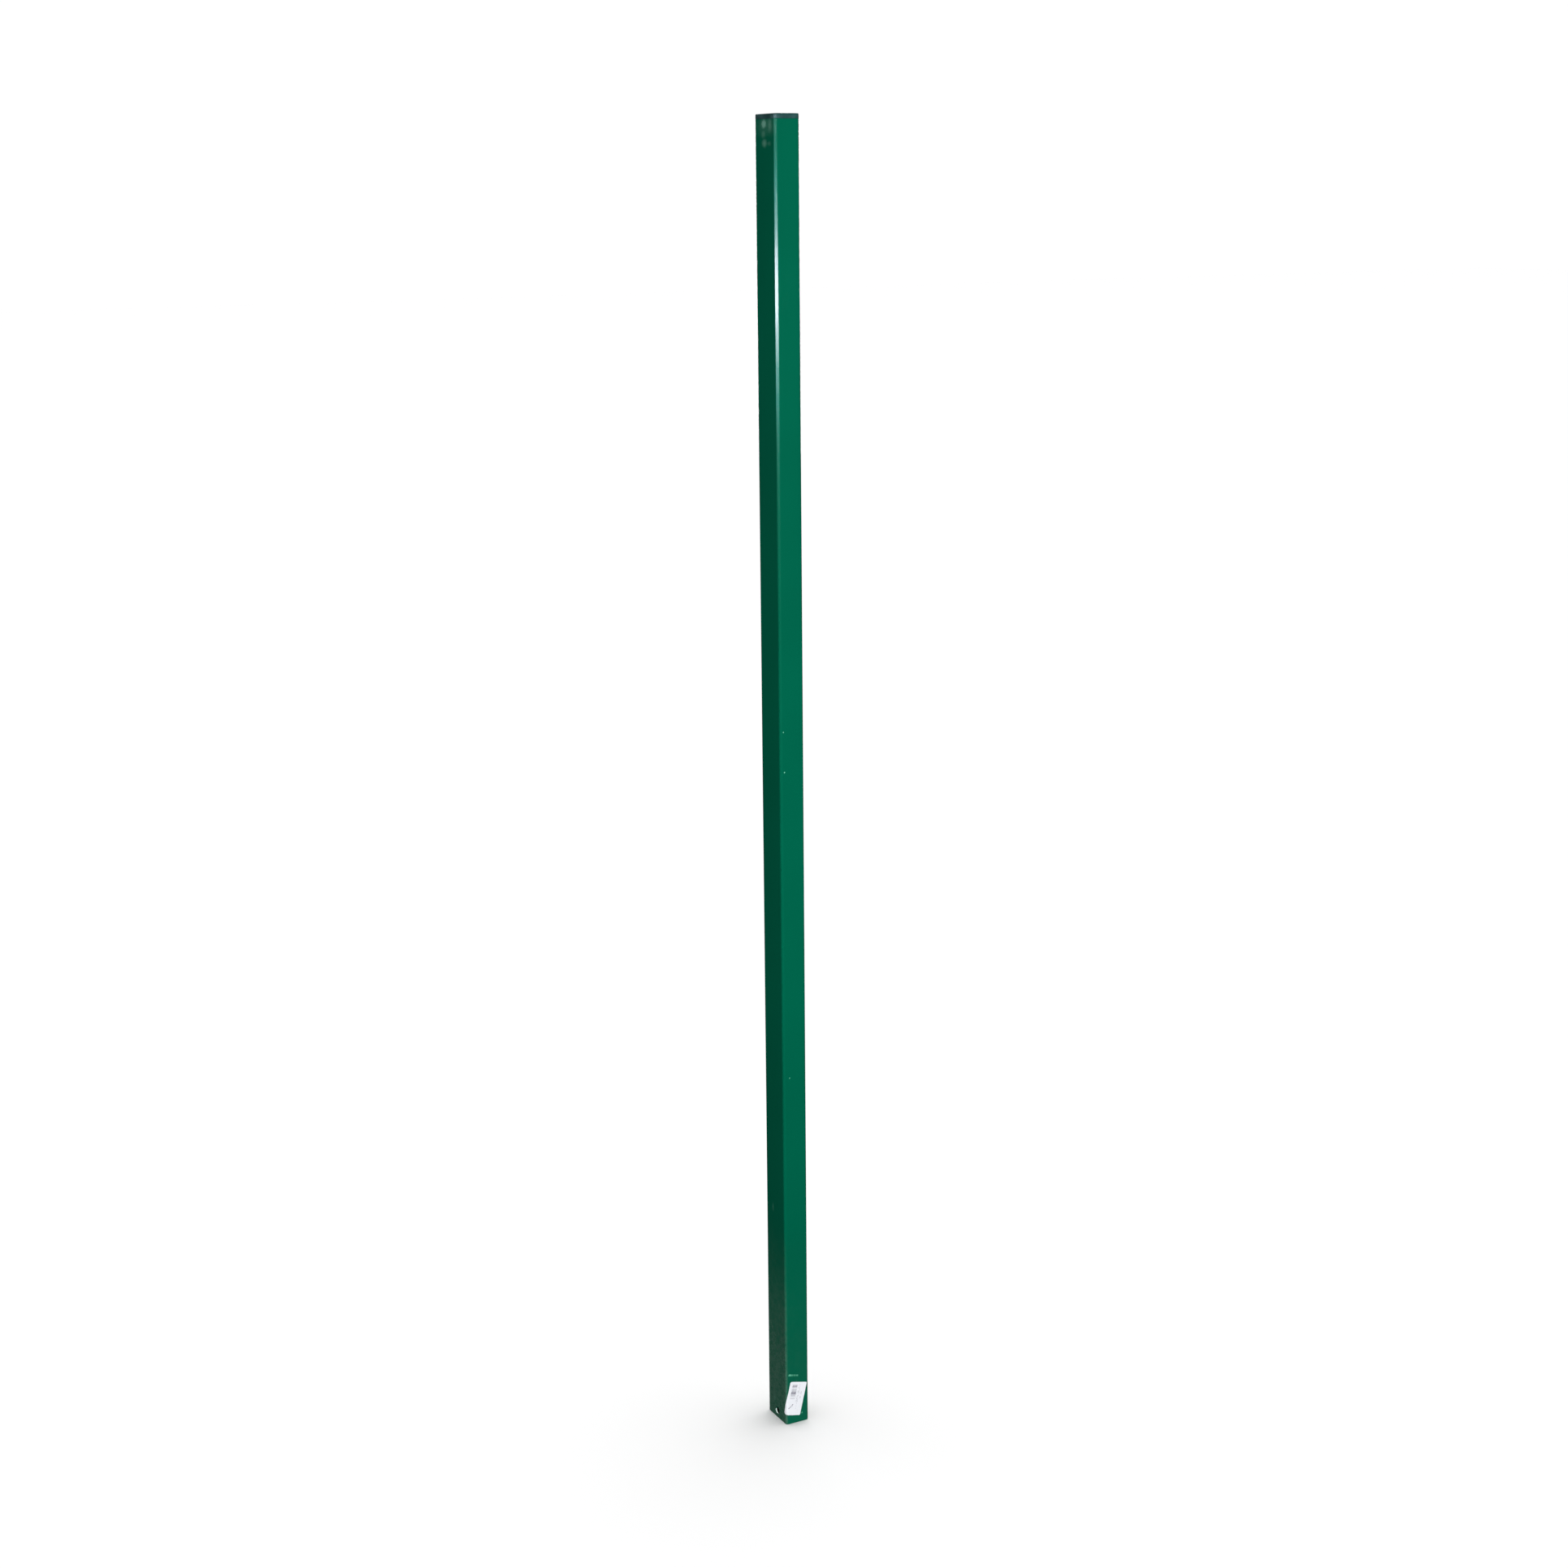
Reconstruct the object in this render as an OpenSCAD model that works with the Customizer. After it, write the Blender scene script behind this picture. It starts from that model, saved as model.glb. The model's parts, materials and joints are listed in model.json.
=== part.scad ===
// Rectangular steel post with a moulded end cap and a stick-on label.
// Z runs up the post from its foot. The narrow faces look along Y and the wide faces along X.
// Lengths are in millimetres and angles in degrees.

/* [Post tube] */
// Length of the tube from its foot to its top edge
tube_length = 2000; // [600:10:3000]
// Width of the wide faces, along Y
tube_wide = 60; // [56:1:100]
// Width of the narrow faces, along X
tube_narrow = 40; // [38:1:60]
// Thickness of the steel
wall = 2; // [1.5:0.1:2.5]
// Radius of the long outside corners
corner_r = 4; // [3.5:0.1:5]

/* [Weld seam] */
// Width of the bead that stands inside the tube
bead_w = 4; // [2:0.5:5]
// Height of the bead over the inside wall
bead_h = 0.6; // [0.2:0.1:0.8]

/* [Foot hole] */
// Diameter of the hole that crosses both wide walls
hole_d = 12; // [6:0.5:14]
// Height of the hole's axis over the foot
hole_z = 12; // [12:1:60]

/* [End cap] */
// Height of the head that shows over the tube
head_h = 7; // [4:0.5:8]
// Radius of the head's top edge
head_edge_r = 1.5; // [0.8:0.1:1.7]
// Rise of the head's crown over its edge
crown_h = 0.6; // [0.2:0.1:1]
// Thickness of the head's top
head_skin = 2.4; // [2:0.1:3]
// Length of the skirt inside the tube
skirt_depth = 22; // [16:1:30]
// Thickness of the skirt
skirt_wall = 1.8; // [1.2:0.1:2]
// Space between the skirt and the tube, which the fins bridge
fin_reach = 2; // [1.6:0.1:2.4]
// Free space between the fins and the tube
fin_clear = 0.15; // [0.1:0.05:0.3]
// Thickness of a fin
fin_t = 1; // [0.8:0.1:1.2]
// Number of rows of fins
fin_rows = 4; // [2:1:4]
// Width of the notch in each wide side's fins, which lets the weld bead past
fin_notch = 8; // [7:0.5:12]
// Thickness of the stiffening ribs inside the skirt
rib_t = 1.4; // [1:0.1:1.8]

/* [Label] */
// Width of the label
label_w = 30; // [20:1:34]
// Height of the label
label_h = 56; // [30:1:70]
// Thickness of the label
label_t = 0.2; // [0.1:0.05:0.3]
// Radius of the label's corners
label_corner_r = 2; // [1:0.5:4]
// Distance of the label's centre from the middle of the narrow face, along X
label_x = -4; // [-5:0.5:0]
// Height of the label's centre over the foot
label_z = 42; // [38:1:200]
// Clockwise lean of the label, seen from the front
label_lean = 13.5; // [0:0.5:15]

/* [Hidden] */
$fn = 48;
eps = 0.01;

// Section sizes are [narrow, wide], along X and Y.
section = [tube_narrow, tube_wide];
bore = [for (side = section) side - 2 * wall];
bore_r = corner_r - wall;
skirt = [for (side = bore) side - 2 * fin_reach];
pocket = [for (side = skirt) side - 2 * skirt_wall];
fin_plate = [for (side = bore) side - 2 * fin_clear];
// A chord of width bead_w that stands bead_h over the wall lies on this circle.
bead_r = (bead_w * bead_w / 4 + bead_h * bead_h) / (2 * bead_h);
fin_pitch = (skirt_depth - 2 * fin_t) / fin_rows;
pocket_depth = skirt_depth + head_h - head_skin;

module rounded_rect(size, r) {
    square([size.x - 2 * r, size.y], center = true);
    square([size.x, size.y - 2 * r], center = true);
    for (sx = [-1, 1], sy = [-1, 1])
        translate([sx * (size.x / 2 - r), sy * (size.y / 2 - r)])
            circle(r);
}

module bar(size, r, height) {
    linear_extrude(height) rounded_rect(size, r);
}

// The tube

module weld_bead() {
    linear_extrude(tube_length)
        intersection() {
            translate([bore.x / 2 - bead_h + bead_r, 0]) circle(bead_r, $fn = 96);
            translate([bore.x / 2 - bead_h, -bead_w]) square([bead_h + wall / 2, 2 * bead_w]);
        }
}

module cross_hole() {
    translate([-section.x, 0, hole_z])
        rotate([0, 90, 0])
            cylinder(h = 2 * section.x, d = hole_d);
}

module post_tube() {
    color("darkgreen")
        difference() {
            union() {
                difference() {
                    bar(section, corner_r, tube_length);
                    translate([0, 0, -eps]) bar(bore, bore_r, tube_length + 2 * eps);
                }
                weld_bead();
            }
            cross_hole();
        }
}

// The end cap

// A barrel along Y whose top stands crown_h over the level it has at the edges of span.
module barrel(span) {
    r = (span * span / 4 + crown_h * crown_h) / (2 * crown_h);
    translate([0, 0, head_h + crown_h - r])
        rotate([90, 0, 0])
            cylinder(h = 4 * tube_wide, r = r, center = true, $fn = 720);
}

module crown(size) {
    intersection() {
        bar(size, corner_r - head_edge_r, head_h + crown_h);
        barrel(size.x);
        rotate([0, 0, 90]) barrel(size.y);
    }
}

module cap_head() {
    top = [for (side = section) side - 2 * head_edge_r];
    corner = [for (side = section) side / 2 - corner_r];
    edge_z = head_h - head_edge_r;
    bar(section, corner_r, edge_z);
    crown(top);
    for (sx = [-1, 1], sy = [-1, 1])
        translate([sx * corner.x, sy * corner.y, edge_z])
            rotate_extrude()
                translate([corner_r - head_edge_r, 0])
                    circle(head_edge_r);
    for (sy = [-1, 1])
        translate([0, sy * top.y / 2, edge_z])
            rotate([0, 90, 0])
                cylinder(h = 2 * corner.x, r = head_edge_r, center = true);
    for (sx = [-1, 1])
        translate([sx * top.x / 2, 0, edge_z])
            rotate([90, 0, 0])
                cylinder(h = 2 * corner.y, r = head_edge_r, center = true);
}

module fin_row() {
    slot = fin_plate - skirt;
    difference() {
        bar(fin_plate, bore_r - fin_clear, fin_t);
        // The corners are open, and so is the middle of each wide side.
        for (sx = [-1, 1], sy = [-1, 1])
            translate([sx * (skirt.x / 2 + slot.x / 2), sy * (skirt.y / 2 + slot.y / 2), fin_t / 2])
                cube([2 * slot.x, 2 * slot.y, 2 * fin_t], center = true);
        for (sx = [-1, 1])
            translate([sx * (skirt.x / 2 + slot.x / 2), 0, fin_t / 2])
                cube([slot.x, fin_notch, 2 * fin_t], center = true);
    }
}

module stiffening_ribs() {
    translate([-rib_t / 2, -pocket.y / 2 - eps, 0]) cube([rib_t, pocket.y + 2 * eps, pocket_depth / 2]);
    for (sy = [-1, 1])
        translate([-pocket.x / 2 - eps, sy * pocket.y / 4 - rib_t / 2, 0])
            cube([pocket.x + 2 * eps, rib_t, pocket_depth / 2]);
}

module end_cap() {
    color("dimgray")
        translate([0, 0, tube_length]) {
            difference() {
                union() {
                    cap_head();
                    translate([0, 0, -skirt_depth]) bar(skirt, bore_r, skirt_depth + eps);
                    for (row = [0 : fin_rows - 1])
                        translate([0, 0, -skirt_depth + fin_t + row * fin_pitch]) fin_row();
                }
                translate([0, 0, -skirt_depth - eps]) bar(pocket, 1, pocket_depth + eps);
            }
            translate([0, 0, -skirt_depth + pocket_depth / 2]) stiffening_ribs();
        }
}

// The label

module label_prism() {
    translate([label_x, 0, label_z])
        rotate([90, label_lean, 0])
            linear_extrude(section.y)
                rounded_rect([label_w, label_h], label_corner_r);
}

module label() {
    jacket = [for (side = section) side + 2 * label_t];
    color("white")
        intersection() {
            difference() {
                bar(jacket, corner_r + label_t, tube_length);
                translate([0, 0, -eps]) bar(section, corner_r, tube_length + 2 * eps);
            }
            label_prism();
            // It ends where the rounded corner meets the wide face.
            translate([-section.x, -section.y, 0])
                cube([2 * section.x, section.y / 2 + corner_r, tube_length]);
        }
}

post_tube();
end_cap();
label();
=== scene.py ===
"""Looks of the rectangular post: coated steel tube, moulded end cap, stock label and a plain stage."""

import json
import math

import bmesh
import bpy
from mathutils import Matrix, Vector, noise

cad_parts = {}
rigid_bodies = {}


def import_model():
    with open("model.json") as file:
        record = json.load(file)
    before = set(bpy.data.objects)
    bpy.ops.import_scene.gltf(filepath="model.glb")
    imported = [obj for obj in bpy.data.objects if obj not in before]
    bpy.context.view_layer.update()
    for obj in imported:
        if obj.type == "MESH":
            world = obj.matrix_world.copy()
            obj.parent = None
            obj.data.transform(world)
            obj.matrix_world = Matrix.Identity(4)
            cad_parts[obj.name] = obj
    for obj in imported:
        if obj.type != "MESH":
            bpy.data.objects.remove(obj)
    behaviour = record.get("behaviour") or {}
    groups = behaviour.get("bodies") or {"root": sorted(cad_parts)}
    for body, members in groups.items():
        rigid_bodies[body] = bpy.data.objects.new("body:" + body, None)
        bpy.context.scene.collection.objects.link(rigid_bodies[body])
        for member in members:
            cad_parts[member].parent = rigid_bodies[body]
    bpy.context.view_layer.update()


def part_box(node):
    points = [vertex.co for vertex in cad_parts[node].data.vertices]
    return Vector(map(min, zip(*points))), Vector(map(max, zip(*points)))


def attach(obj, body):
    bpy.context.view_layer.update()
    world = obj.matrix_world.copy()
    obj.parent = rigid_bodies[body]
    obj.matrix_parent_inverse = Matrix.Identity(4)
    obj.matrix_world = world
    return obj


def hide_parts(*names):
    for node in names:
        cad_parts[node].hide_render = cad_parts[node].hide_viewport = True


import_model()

bl_info = {
    "name": "Rectangular post looks",
    "version": (1, 0, 0),
    "blender": (4, 5, 0),
    "location": "3D View > Sidebar > Post",
    "description": "Builds the coated tube, the end cap, the label and the stage of a rectangular steel post",
    "category": "Object",
}

MM = 0.001

TUBE_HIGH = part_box("post_tube")[1]
CAP_LOW, CAP_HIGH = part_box("end_cap")
LABEL_LOW, LABEL_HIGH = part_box("label")

HALF_X = TUBE_HIGH.x
HALF_Y = TUBE_HIGH.y
LENGTH = TUBE_HIGH.z


# Settings


def length(name, about, default, low=0.0, high=3.0):
    """A length in metres that a user may change."""
    return bpy.props.FloatProperty(
        name=name, description=about, default=default, min=low, max=high,
        unit="LENGTH", subtype="DISTANCE", precision=5,
    )


def angle(name, about, degrees):
    """An angle that a user may change."""
    return bpy.props.FloatProperty(
        name=name, description=about, default=math.radians(degrees),
        min=-2 * math.pi, max=2 * math.pi, unit="ROTATION", subtype="ANGLE",
    )


def share(name, about, default, high=1.0):
    """A plain number from 0 up."""
    return bpy.props.FloatProperty(name=name, description=about, default=default, min=0.0, max=high)


def colour(name, about, default):
    """A colour in linear light."""
    return bpy.props.FloatVectorProperty(
        name=name, description=about, default=default, min=0.0, max=1.0, size=3, subtype="COLOR",
    )


class TubeSettings(bpy.types.PropertyGroup):
    """Sizes and finish of the steel tube."""

    wall: length("Wall", "Thickness of the steel", 2.0 * MM)
    corner_radius: length("Corner radius", "Radius of the long outside corners", 4.0 * MM)
    cut_radius: length("Cut edge radius", "Rounding that the coat gives the cut edges", 0.35 * MM)
    waviness: length("Waviness", "How far the rolled faces wander from flat", 0.12 * MM)
    wave_length: length("Wave length", "Length of one wander of a rolled face", 0.22)
    hole_diameter: length("Hole diameter", "Diameter of the cross hole at the foot", 12.0 * MM)
    hole_height: length("Hole height", "Height of the cross hole over the foot", 12.0 * MM)
    bead_width: length("Bead width", "Width of the weld bead inside", 4.0 * MM)
    bead_height: length("Bead height", "Height of the weld bead inside", 0.6 * MM)
    coat: colour("Coat", "Colour of the glossy coat", (0.0, 0.104, 0.056))
    coat_roughness: share("Coat roughness", "Roughness of the clean coat", 0.13)
    peel: length("Orange peel", "Depth of the coat's orange peel", 0.012 * MM)
    ripple: length("Ripple", "Depth of the slow ripples in the coat", 0.03 * MM)
    chalk: colour("Chalk", "Colour of the chalky rubs under the cap", (0.50, 0.95, 0.78))
    # This colour is fresh scuffs, and also small painted highlight dots that stand for glints.
    scuff_and_glint: colour("Scuff", "Colour of the fresh scuffs in the coat", (0.25, 0.90, 0.60))
    # This colour is dust, and also a painted reflection of the pale floor low on the post.
    dust_and_sheen: colour("Dust", "Colour of the dust at the foot", (0.34, 0.36, 0.33))
    dust_and_sheen_height: length("Dust height", "How far the dust reaches up from the foot", 0.36)
    zinc: colour("Zinc", "Colour of the bare zinc inside", (0.42, 0.44, 0.45))


class CapSettings(bpy.types.PropertyGroup):
    """Sizes and finish of the moulded cap."""

    edge_radius: length("Edge radius", "Radius of the head's top edge", 1.5 * MM)
    crown: length("Crown", "Rise of the head's middle over its edge", 0.6 * MM)
    skin: length("Skin", "Thickness of the head's top", 2.4 * MM)
    seam_radius: length("Seam radius", "Rounding of the head's lower edge", 0.35 * MM)
    skirt_wall: length("Skirt wall", "Thickness of the skirt", 1.8 * MM)
    fin_reach: length("Fin reach", "Space between the skirt and the tube", 2.0 * MM)
    fin_clear: length("Fin clearance", "Free space between the fins and the tube", 0.15 * MM)
    fin_thickness: length("Fin thickness", "Thickness of a fin at its root", 1.0 * MM)
    fin_notch: length("Fin notch", "Gap in the fins for the weld bead", 8.0 * MM)
    fin_rows: bpy.props.IntProperty(
        name="Fin rows", description="Number of rows of fins", default=4, min=1, max=8,
    )
    rib_thickness: length("Rib thickness", "Thickness of the ribs inside", 1.4 * MM)
    plastic: colour("Plastic", "Colour of the moulding", (0.006, 0.040, 0.037))
    roughness: share("Roughness", "Roughness of the moulding", 0.42)


class LabelSettings(bpy.types.PropertyGroup):
    """Sizes and finish of the stock label."""

    width: length("Width", "Width of the label", 30.0 * MM)
    height: length("Height", "Height of the label", 56.0 * MM)
    thickness: length("Thickness", "Thickness of the film", 0.14 * MM)
    corner_radius: length("Corner radius", "Radius of the label's corners", 2.0 * MM)
    centre_x: length(
        "Centre", "Place of the label's centre across the narrow face", -4.0 * MM, low=-0.02, high=0.02,
    )
    lean: angle("Lean", "Clockwise lean of the label", 13.5)
    lift: length("Lift", "How far the loosest corner stands off the coat", 0.25 * MM)
    film: colour("Film", "Colour of the film", (0.86, 0.88, 0.93))
    ink: colour("Ink", "Colour of the print", (0.11, 0.10, 0.15))
    seed: bpy.props.IntProperty(name="Seed", description="Order of the random bars", default=7, min=0)


class StageSettings(bpy.types.PropertyGroup):
    """Camera, light and floor."""

    camera_distance: length("Camera distance", "Level distance from the post", 3.524, 0.5, 20.0)
    camera_height: length("Camera height", "Height over the floor", 1.904, 0.0, 10.0)
    camera_azimuth: angle("Camera azimuth", "Turn of the camera round the post", -28.23)
    camera_tilt: angle("Camera tilt", "How far the camera looks down", 13.80)
    camera_roll: angle("Camera roll", "Roll of the camera", -0.513)
    camera_pan: angle("Camera pan", "How far the camera looks past the post", -0.026)
    lens: bpy.props.FloatProperty(
        name="Lens", description="Focal length", default=55.59, min=10.0, max=300.0, unit="CAMERA",
    )
    key_azimuth: angle("Key azimuth", "Turn of the main light round the post", -24.0)
    key_power: share("Key power", "Power of the main light in watts", 195.0, 5000.0)
    strip_radiance: share("Strip brightness", "Brightness of the light strips in the gloss", 40.0, 1000.0)
    strip_height: length("Strip height", "Height of the light strips over the floor", 1.60, 0.0, 5.0)
    floor: colour("Floor", "Colour of the floor", (0.86, 0.86, 0.86))


class PostLooks(bpy.types.PropertyGroup):
    """Everything a user may change."""

    tube: bpy.props.PointerProperty(type=TubeSettings, name="Tube", description="The steel tube")
    cap: bpy.props.PointerProperty(type=CapSettings, name="Cap", description="The end cap")
    label: bpy.props.PointerProperty(type=LabelSettings, name="Label", description="The stock label")
    stage: bpy.props.PointerProperty(type=StageSettings, name="Stage", description="Camera, light and floor")


# Node trees


class Graph:
    """Adds nodes to a node tree, sets their inputs and joins them."""

    def __init__(self, tree):
        self.tree = tree

    def add(self, kind, inputs=None, **settings):
        """A new node. An input is named by its name or its number, and takes a value or a socket."""
        node = self.tree.nodes.new(kind)
        for name, value in settings.items():
            setattr(node, name, value)
        self.fill(node, inputs or {})
        return node

    def fill(self, node, inputs):
        """Feeds several inputs of one node."""
        for key, value in inputs.items():
            self.feed(node.inputs[key], value)

    def feed(self, socket, value):
        """Joins a socket to an input, or sets the input's own value."""
        if isinstance(value, bpy.types.NodeSocket):
            self.tree.links.new(value, socket)
        else:
            socket.default_value = value

    def math(self, operation, a, b=0.0, c=0.0, clamp=False):
        """The result of a Math node."""
        inputs = {0: a, 1: b, 2: c}
        return self.add("ShaderNodeMath", inputs, operation=operation, use_clamp=clamp).outputs[0]

    def times(self, a, b, clamp=False):
        """The product of two numbers."""
        return self.math("MULTIPLY", a, b, clamp=clamp)

    def plus(self, a, b):
        """The sum of two numbers."""
        return self.math("ADD", a, b)

    def minus(self, a, b):
        """The difference of two numbers."""
        return self.math("SUBTRACT", a, b)

    def unsigned(self, value):
        """A number without its sign."""
        return self.math("ABSOLUTE", value)

    def split(self, vector):
        """The three parts of a vector."""
        return self.add("ShaderNodeSeparateXYZ", {0: vector}).outputs

    def combine(self, x=0.0, y=0.0, z=0.0):
        """A vector from its three parts."""
        return self.add("ShaderNodeCombineXYZ", {0: x, 1: y, 2: z}).outputs[0]

    def position(self):
        """The place of each point in a geometry tree."""
        return self.add("GeometryNodeInputPosition").outputs[0]

    def vector(self, operation, a, b=None, scale=None):
        """The result of a Vector Math node that gives a vector."""
        inputs = {0: a}
        if b is not None:
            inputs[1] = b
        if scale is not None:
            inputs["Scale"] = scale
        return self.add("ShaderNodeVectorMath", inputs, operation=operation).outputs["Vector"]

    def remap(self, value, low, high, to_low=0.0, to_high=1.0):
        """A value eased from one range to another and held at the ends."""
        inputs = {"Value": value, "From Min": low, "From Max": high, "To Min": to_low, "To Max": to_high}
        return self.add("ShaderNodeMapRange", inputs, interpolation_type="SMOOTHSTEP").outputs["Result"]

    def noise(self, place, scale, detail=2.0, roughness=0.5):
        """Noise from 0 to 1 at a place."""
        inputs = {"Vector": place, "Scale": scale, "Detail": detail, "Roughness": roughness}
        return self.add("ShaderNodeTexNoise", inputs).outputs[0]

    def blend(self, factor, a, b, kind="MIX"):
        """Two colours mixed."""
        node = self.add("ShaderNodeMix", data_type="RGBA", blend_type=kind)
        for identifier, value in (("Factor_Float", factor), ("A_Color", a), ("B_Color", b)):
            self.feed(named(node.inputs, identifier), value)
        return named(node.outputs, "Result_Color")


def named(sockets, identifier):
    """The socket with that identifier, for nodes that give several sockets one name."""
    return next(socket for socket in sockets if socket.identifier == identifier)


def opaque(rgb):
    """A colour with full alpha."""
    return (rgb[0], rgb[1], rgb[2], 1.0)


SOCKETS = {
    "float": "NodeSocketFloat",
    "int": "NodeSocketInt",
    "vector": "NodeSocketVector",
    "material": "NodeSocketMaterial",
    "geometry": "NodeSocketGeometry",
}


def new_tree(name, kind, inputs, outputs):
    """An empty tree with named sockets, and its Graph, group input and group output."""
    tree = bpy.data.node_groups.new(name, kind)
    for direction, sockets in (("INPUT", inputs), ("OUTPUT", outputs)):
        for socket_name, socket_kind in sockets.items():
            tree.interface.new_socket(socket_name, in_out=direction, socket_type=SOCKETS[socket_kind])
    graph = Graph(tree)
    return graph, graph.add("NodeGroupInput").outputs, graph.add("NodeGroupOutput").inputs


def mask_group(name, inputs, make):
    """A shader group with one value out. It is built the first time it is asked for."""
    if name in bpy.data.node_groups:
        return bpy.data.node_groups[name]
    graph, given, result = new_tree(name, "ShaderNodeTree", inputs, {"Value": "float"})
    graph.feed(result["Value"], make(graph, given))
    return graph.tree


def use(graph, group, inputs):
    """Places a shader group in a material and gives its value."""
    return graph.add("ShaderNodeGroup", inputs, node_tree=group).outputs["Value"]


# Effects that several materials share


def peel_height():
    """Orange peel: close, shallow cells over slow ripples. The height is in metres."""

    def make(graph, given):
        cells = graph.noise(given["Place"], given["Cells"], 1.0, 0.4)
        long_way = graph.vector("MULTIPLY", given["Place"], (1.0, 1.0, 0.45))
        waves = graph.noise(long_way, given["Waves"], 1.0, 0.3)
        fine = graph.times(cells, given["Cell Depth"])
        return graph.math("MULTIPLY_ADD", waves, given["Wave Depth"], fine)

    sockets = {
        "Place": "vector", "Cells": "float", "Cell Depth": "float",
        "Waves": "float", "Wave Depth": "float",
    }
    return mask_group("orange_peel", sockets, make)


def rub_mark():
    """One soft, ragged mark. Local is 1 at the mark's rim, and Squareness 2 is round."""

    def make(graph, given):
        parts = graph.split(graph.vector("ABSOLUTE", given["Local"]))
        powers = [graph.math("POWER", part, given["Squareness"]) for part in parts]
        total = graph.plus(graph.plus(powers[0], powers[1]), powers[2])
        reach = graph.math("POWER", total, graph.math("DIVIDE", 1.0, given["Squareness"]))
        grain = graph.noise(given["Place"], given["Grain"], 3.0, 0.6)
        ragged = graph.times(graph.minus(grain, 0.5), given["Ragged"])
        rim = graph.plus(reach, ragged)
        return graph.remap(rim, graph.plus(1.0, given["Soft"]), graph.minus(1.0, given["Soft"]))

    sockets = {
        "Place": "vector", "Local": "vector", "Squareness": "float",
        "Grain": "float", "Ragged": "float", "Soft": "float",
    }
    return mask_group("rub_mark", sockets, make)


def dust_and_sheen_film():
    """Dust, and a painted reflection of the floor, that thicken towards the foot in uneven drifts."""

    def make(graph, given):
        height = graph.split(given["Place"])[2]
        drift = graph.noise(given["Place"], 14.0, 3.0, 0.55)
        uneven = graph.math("MULTIPLY_ADD", graph.minus(drift, 0.5), given["Drift"], height)
        rise = graph.remap(uneven, given["Reach"], 0.0)
        speckle = graph.noise(given["Place"], 900.0, 2.0, 0.7)
        mottle = graph.noise(given["Place"], 120.0, 3.0, 0.6)
        grain = graph.times(graph.remap(speckle, 0.2, 0.8, 0.7, 1.3), graph.remap(mottle, 0.3, 0.7, 0.6, 1.3))
        return graph.times(rise, grain, clamp=True)

    return mask_group("dust_and_sheen_film", {"Place": "vector", "Reach": "float", "Drift": "float"}, make)


def flecks():
    """A few small specks of grit or chipped coat."""

    def make(graph, given):
        cells = graph.add("ShaderNodeTexVoronoi", {"Vector": given["Place"], "Scale": given["Scale"]})
        pick = graph.add("ShaderNodeSeparateColor", {0: cells.outputs["Color"]})
        chosen = graph.math("GREATER_THAN", pick.outputs[0], graph.minus(1.0, given["Share"]))
        size = graph.math("MULTIPLY_ADD", pick.outputs[1], 0.10, 0.04)
        dot = graph.remap(cells.outputs["Distance"], size, graph.times(size, 0.6))
        return graph.times(dot, chosen)

    return mask_group("flecks", {"Place": "vector", "Scale": "float", "Share": "float"}, make)


def hairlines():
    """Fine scratches that run mostly along the post, broken up in patches."""

    def make(graph, given):
        stretched = graph.vector("MULTIPLY", given["Place"], (1.0, 1.0, 0.02))
        lines = graph.noise(stretched, given["Scale"], 2.0, 0.5)
        thin = graph.remap(graph.unsigned(graph.minus(lines, 0.5)), 0.012, 0.0)
        patches = graph.remap(graph.noise(given["Place"], 9.0, 2.0), 0.52, 0.72)
        return graph.times(thin, patches)

    return mask_group("hairlines", {"Place": "vector", "Scale": "float"}, make)


# Materials


def new_material(name):
    """An empty material with a Principled shader, its Graph and the object coordinates."""
    material = bpy.data.materials.new(name)
    material.use_nodes = True
    material.node_tree.nodes.clear()
    graph = Graph(material.node_tree)
    shader = graph.add("ShaderNodeBsdfPrincipled")
    graph.add("ShaderNodeOutputMaterial", {"Surface": shader.outputs["BSDF"]})
    coordinates = graph.add("ShaderNodeTexCoord").outputs
    return material, graph, shader, coordinates


def bump(graph, shader, height):
    """Feeds a height in metres to the shader's normal."""
    node = graph.add("ShaderNodeBump", {"Height": height, "Strength": 1.0, "Distance": 1.0})
    graph.feed(shader.inputs["Normal"], node.outputs["Normal"])


# Marks on the coat, in millimetres: centre, reach to each side, turn about Y in degrees,
# squareness, softness and strength.
LEFT = -20.0
FRONT = -30.0
DEEP = 3.0
RUBS = (
    ((LEFT, 2.0, 1993.0), (DEEP, 6.2, 5.2), 0, 2, 0.85, 0.30),
    ((LEFT, -15.6, 1991.0), (DEEP, 5.2, 8.2), 0, 2, 0.90, 0.13),
    ((LEFT, 3.5, 1980.0), (DEEP, 5.4, 4.6), 0, 2, 0.90, 0.10),
    ((LEFT, 0.6, 1967.0), (DEEP, 5.6, 4.2), 0, 2, 0.90, 0.15),
    ((LEFT, -13.5, 1966.2), (DEEP, 4.2, 2.4), 0, 2, 0.90, 0.06),
    ((LEFT, -4.0, 1990.0), (DEEP, 22.0, 11.0), 0, 3, 0.60, 0.04),
    ((LEFT, 8.0, 358.0), (DEEP, 1.8, 6.0), 0, 2, 0.60, 0.06),
    ((LEFT, 8.5, 30.0), (DEEP, 1.6, 4.5), 0, 2, 0.60, 0.08),
)
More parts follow.
